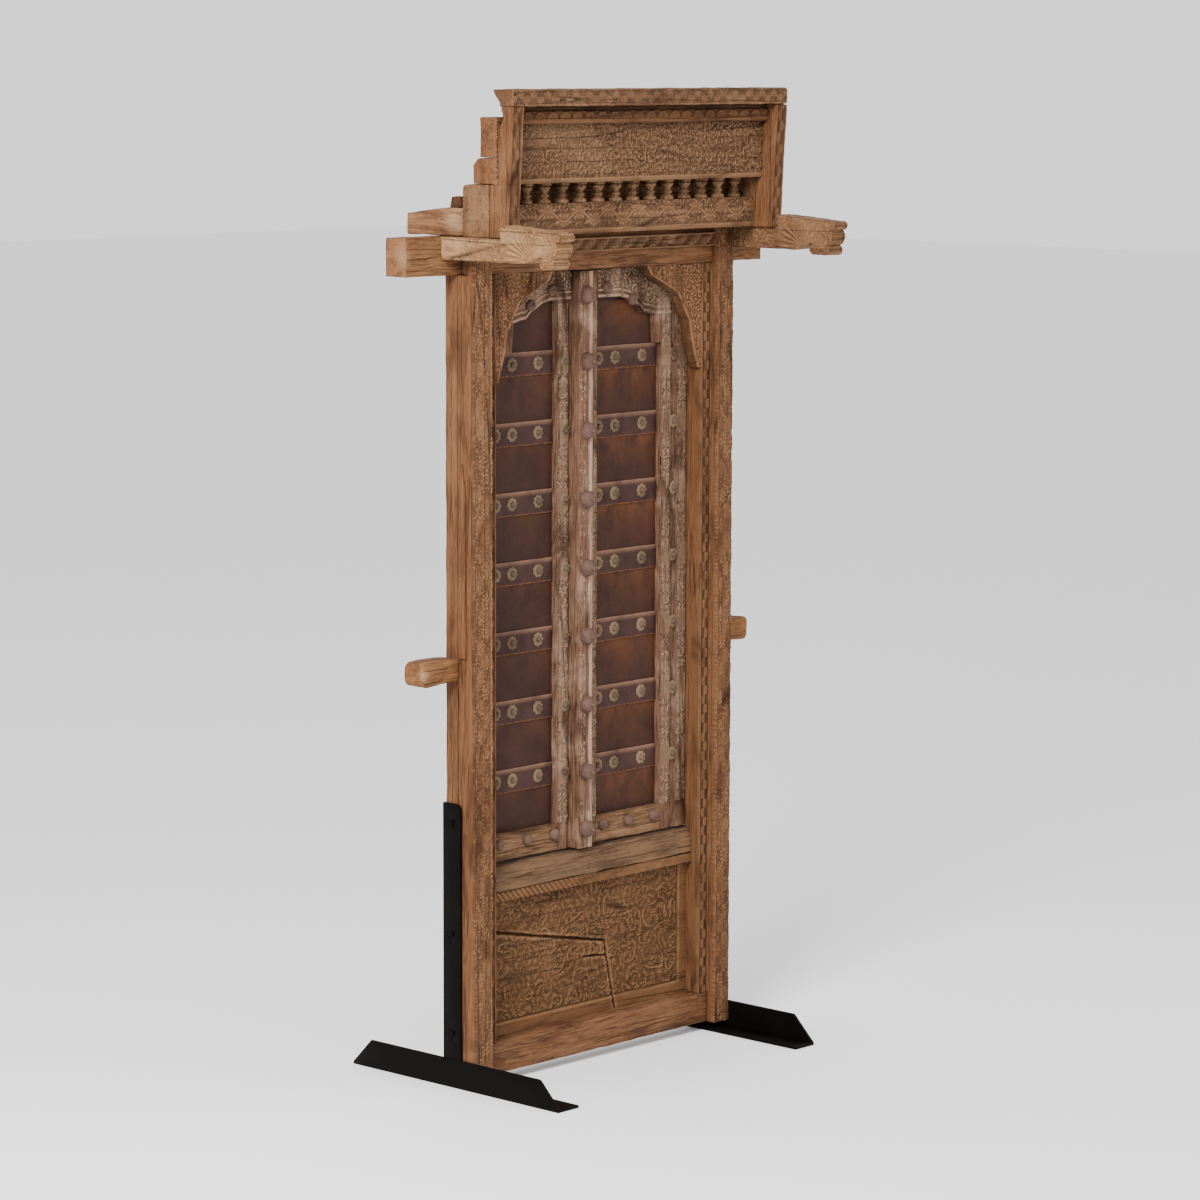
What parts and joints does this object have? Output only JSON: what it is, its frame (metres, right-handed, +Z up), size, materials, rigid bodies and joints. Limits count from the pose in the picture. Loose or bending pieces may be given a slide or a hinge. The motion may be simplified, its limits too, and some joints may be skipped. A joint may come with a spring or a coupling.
{
  "type": "haveli window frame",
  "caption": "Carved wooden window frame with iron clad leaves, a cusped head, a bracketed header and a steel angle stand",
  "frame": {"origin": "on the floor, at the bottom centre of the overall box", "axes": "+Z up, -Y towards the carved front, +X to the right when facing the front"},
  "size_m": [1.065, 0.632, 2.03],
  "materials": {
    "aged_wood": "weathered hardwood, dull wax",
    "bleached_wood": "weathered hardwood, bleached by sun",
    "old_iron": "dark forged sheet, rusted",
    "dome_iron": "worn domes, dull",
    "rosette_metal": "traces of pale paint, worn",
    "stand_steel": "matt black"
  },
  "bodies": {
    "frame": {"bottom_rail": "aged_wood", "head_carved_strip": "bleached_wood", "head_rail": "aged_wood", "header_balusters": "bleached_wood", "header_cornice": "bleached_wood", "header_left_post": "aged_wood", "header_lower_beam": "bleached_wood", "header_middle_board": "aged_wood", "header_right_post": "aged_wood", "header_top_rail": "bleached_wood", "header_upper_board": "aged_wood", "header_upper_panel": "bleached_wood", "left_bracket": "bleached_wood", "left_foot": "stand_steel", "left_header_tail": "aged_wood", "left_main_post": "aged_wood", "left_outer_strip": "aged_wood", "left_rear_post": "aged_wood", "left_side_splint": "aged_wood", "left_spandrel": "aged_wood", "left_upright": "stand_steel", "left_wall_stub": "aged_wood", "lintel_beam": "bleached_wood", "lower_panel": "aged_wood", "lower_panel_corner": "aged_wood", "right_bracket": "bleached_wood", "right_foot": "stand_steel", "right_header_tail": "aged_wood", "right_main_post": "aged_wood", "right_outer_strip": "aged_wood", "right_rear_post": "aged_wood", "right_spandrel": "aged_wood", "right_upright": "stand_steel", "right_wall_stub": "aged_wood", "sill": "bleached_wood", "sill_moulding": "aged_wood", "stand_screws": "stand_steel", "tail_pegs": "aged_wood"},
    "left_leaf": {"left_leaf_arch_head": "aged_wood", "left_leaf_astragal": "bleached_wood", "left_leaf_bosses": "dome_iron", "left_leaf_bottom_rail": "aged_wood", "left_leaf_hanging_stile": "aged_wood", "left_leaf_iron_sheet": "old_iron", "left_leaf_meeting_stile": "bleached_wood", "left_leaf_planks": "aged_wood", "left_leaf_rosettes": "rosette_metal", "left_leaf_straps": "old_iron", "left_leaf_studs": "dome_iron"},
    "right_leaf": {"right_leaf_arch_head": "aged_wood", "right_leaf_bottom_rail": "aged_wood", "right_leaf_hanging_stile": "aged_wood", "right_leaf_iron_sheet": "old_iron", "right_leaf_meeting_stile": "aged_wood", "right_leaf_planks": "aged_wood", "right_leaf_rosettes": "rosette_metal", "right_leaf_straps": "old_iron", "right_leaf_studs": "dome_iron"}
  },
  "joints": [
    {"name": "left_leaf_swing", "type": "hinge", "parent": "frame", "child": "left_leaf", "pos_m": [-0.3135, 0.041, 0.45], "axis": [0, 0, 1], "range_deg": [0, 95]},
    {"name": "right_leaf_swing", "type": "hinge", "parent": "frame", "child": "right_leaf", "pos_m": [0.3135, 0.041, 0.45], "axis": [0, 0, -1], "range_deg": [0, 95]}
  ]
}
